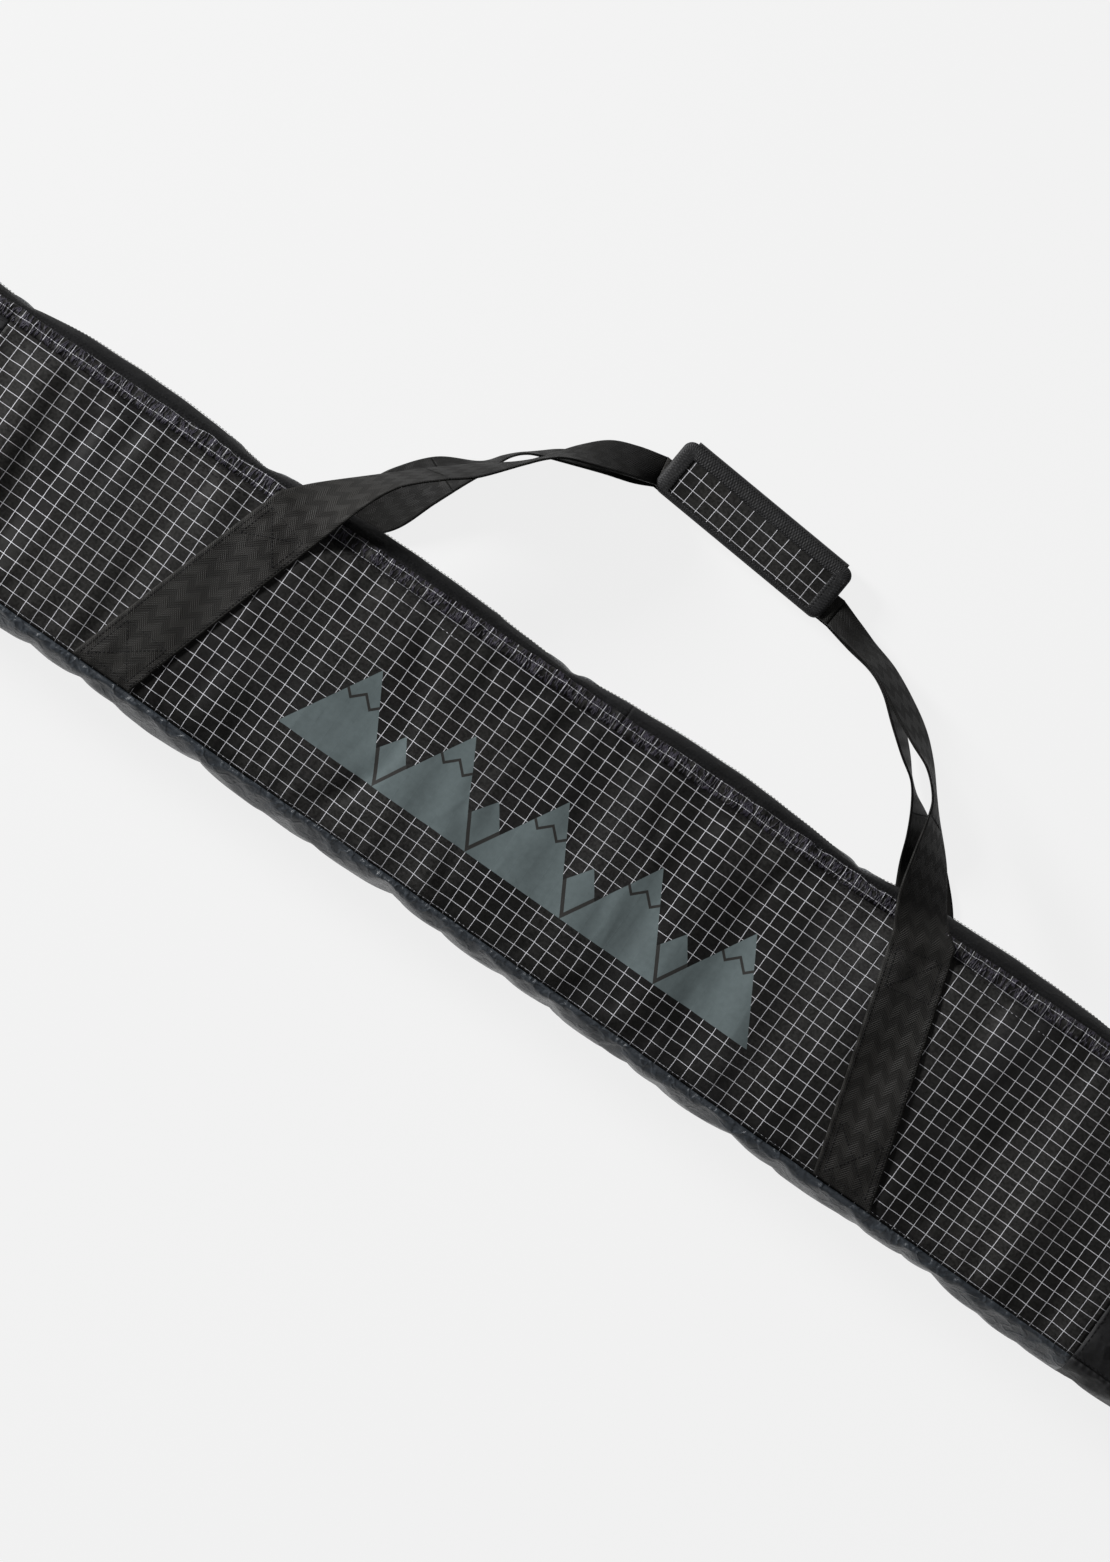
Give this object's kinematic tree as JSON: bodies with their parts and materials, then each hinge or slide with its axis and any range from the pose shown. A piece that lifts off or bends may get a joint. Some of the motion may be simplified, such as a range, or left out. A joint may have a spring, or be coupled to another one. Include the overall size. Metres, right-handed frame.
{
  "type": "ski bag",
  "caption": "Long padded ski bag with a patterned front panel, a full-length zip and two webbing carrying loops joined in a hand wrap.",
  "frame": {"origin": "centre of the back panel, on the surface that the bag lies on", "axes": "+X along the bag towards the tip end, +Y towards the zip and handle, +Z out of the front panel"},
  "size_m": [1.75, 0.4096, 0.0878],
  "materials": {
    "grid_cloth": "ripstop nylon with a woven grid",
    "plain_cloth": "plain woven polyester",
    "coated_cloth": "coated tarpaulin, satin",
    "foam": "closed-cell foam",
    "lining_cloth": "smooth nylon lining",
    "binding_tape": "woven binding tape",
    "zip_tape": "woven zip tape, water-repellent face",
    "zip_coil": "nylon coil",
    "slider_metal": "black enamel",
    "pull_rubber": "moulded rubber",
    "webbing": "woven webbing with a tonal pattern",
    "hook_and_loop": "hook-and-loop tape"
  },
  "bodies": {
    "bag": {"front_panel": "grid_cloth", "tail_end_front": "plain_cloth", "tip_end_front": "plain_cloth", "front_foam": "foam", "front_lining": "lining_cloth", "back_panel": "coated_cloth", "back_foam": "foam", "back_lining": "lining_cloth", "bottom_gusset": "coated_cloth", "tail_end_gusset": "plain_cloth", "tip_end_gusset": "plain_cloth", "bottom_foam": "foam", "bottom_lining": "lining_cloth", "tail_end_foam": "foam", "tail_end_lining": "lining_cloth", "tip_end_foam": "foam", "tip_end_lining": "lining_cloth", "front_seam_binding": "binding_tape", "back_seam_binding": "binding_tape", "zip_tape_tail": "zip_tape", "zip_tape_tip": "zip_tape", "zip_coil_tail": "zip_coil", "zip_coil_tip": "zip_coil", "zip_stops": "zip_coil", "zip_tab_tail": "plain_cloth", "zip_tab_tip": "plain_cloth", "front_strap_tail": "webbing", "front_strap_tip": "webbing", "back_strap_tail": "webbing", "back_strap_tip": "webbing", "front_root_tail": "webbing", "front_root_tip": "webbing", "back_root_tail": "webbing", "back_root_tip": "webbing"},
    "front_lip": {"top_gusset_front": "grid_cloth", "zip_tape_front": "zip_tape", "zip_coil_front": "zip_coil"},
    "back_lip": {"top_gusset_back": "coated_cloth", "zip_tape_back": "zip_tape", "zip_coil_back": "zip_coil"},
    "slider_a": {"slider_a": "slider_metal"},
    "slider_b": {"slider_b": "slider_metal"},
    "pull_a": {"pull_a": "pull_rubber"},
    "pull_b": {"pull_b": "pull_rubber"},
    "handle": {"front_handle_webbing": "webbing", "back_handle_webbing": "webbing", "wrap_back_shell": "plain_cloth", "wrap_back_foam": "foam", "wrap_back_lining": "lining_cloth", "wrap_back_binding": "binding_tape", "hook_tape": "hook_and_loop", "wrap_spine": "plain_cloth"},
    "wrap_flap": {"wrap_flap_shell": "grid_cloth", "wrap_flap_foam": "foam", "wrap_flap_lining": "lining_cloth", "wrap_flap_binding": "binding_tape", "loop_tape": "hook_and_loop"}
  },
  "joints": [
    {"name": "handle_lift", "type": "hinge", "parent": "bag", "child": "handle", "pos_m": [0, 0.109, 0.045], "axis": [0.9998, 0.0192, 0], "range_deg": [0, 70], "deforming": ["front_root_tail", "front_root_tip", "back_root_tail", "back_root_tip"]},
    {"name": "wrap_open", "type": "hinge", "parent": "handle", "child": "wrap_flap", "pos_m": [-0.00066, 0.29293, 0.01005], "axis": [-0.9969, 0.0785, 0], "range_deg": [0, 170], "deforming": ["wrap_spine"]},
    {"name": "front_lip_fold", "type": "hinge", "parent": "bag", "child": "front_lip", "pos_m": [0.00042, 0.087, 0.0842], "axis": [0.9998, 0.0192, 0], "range_deg": [0, 45]},
    {"name": "back_lip_fold", "type": "hinge", "parent": "bag", "child": "back_lip", "pos_m": [0.00008, 0.105, 0.0033], "axis": [-0.9998, -0.0192, 0], "range_deg": [0, 35]},
    {"name": "slider_a_slide", "type": "slide", "parent": "bag", "child": "slider_a", "axis": [0.9998, 0.0192, 0], "range_m": [-0.06, 0]},
    {"name": "slider_b_slide", "type": "slide", "parent": "bag", "child": "slider_b", "axis": [0.9998, 0.0192, 0], "range_m": [0, 1.47]},
    {"name": "pull_a_flip", "type": "hinge", "parent": "slider_a", "child": "pull_a", "pos_m": [-0.70743, 0.09852, 0.047], "axis": [0, 0, -1], "range_deg": [0, 110]},
    {"name": "pull_b_flip", "type": "hinge", "parent": "slider_b", "child": "pull_b", "pos_m": [-0.69243, 0.09881, 0.047], "axis": [0, 0, 1], "range_deg": [0, 110]}
  ]
}
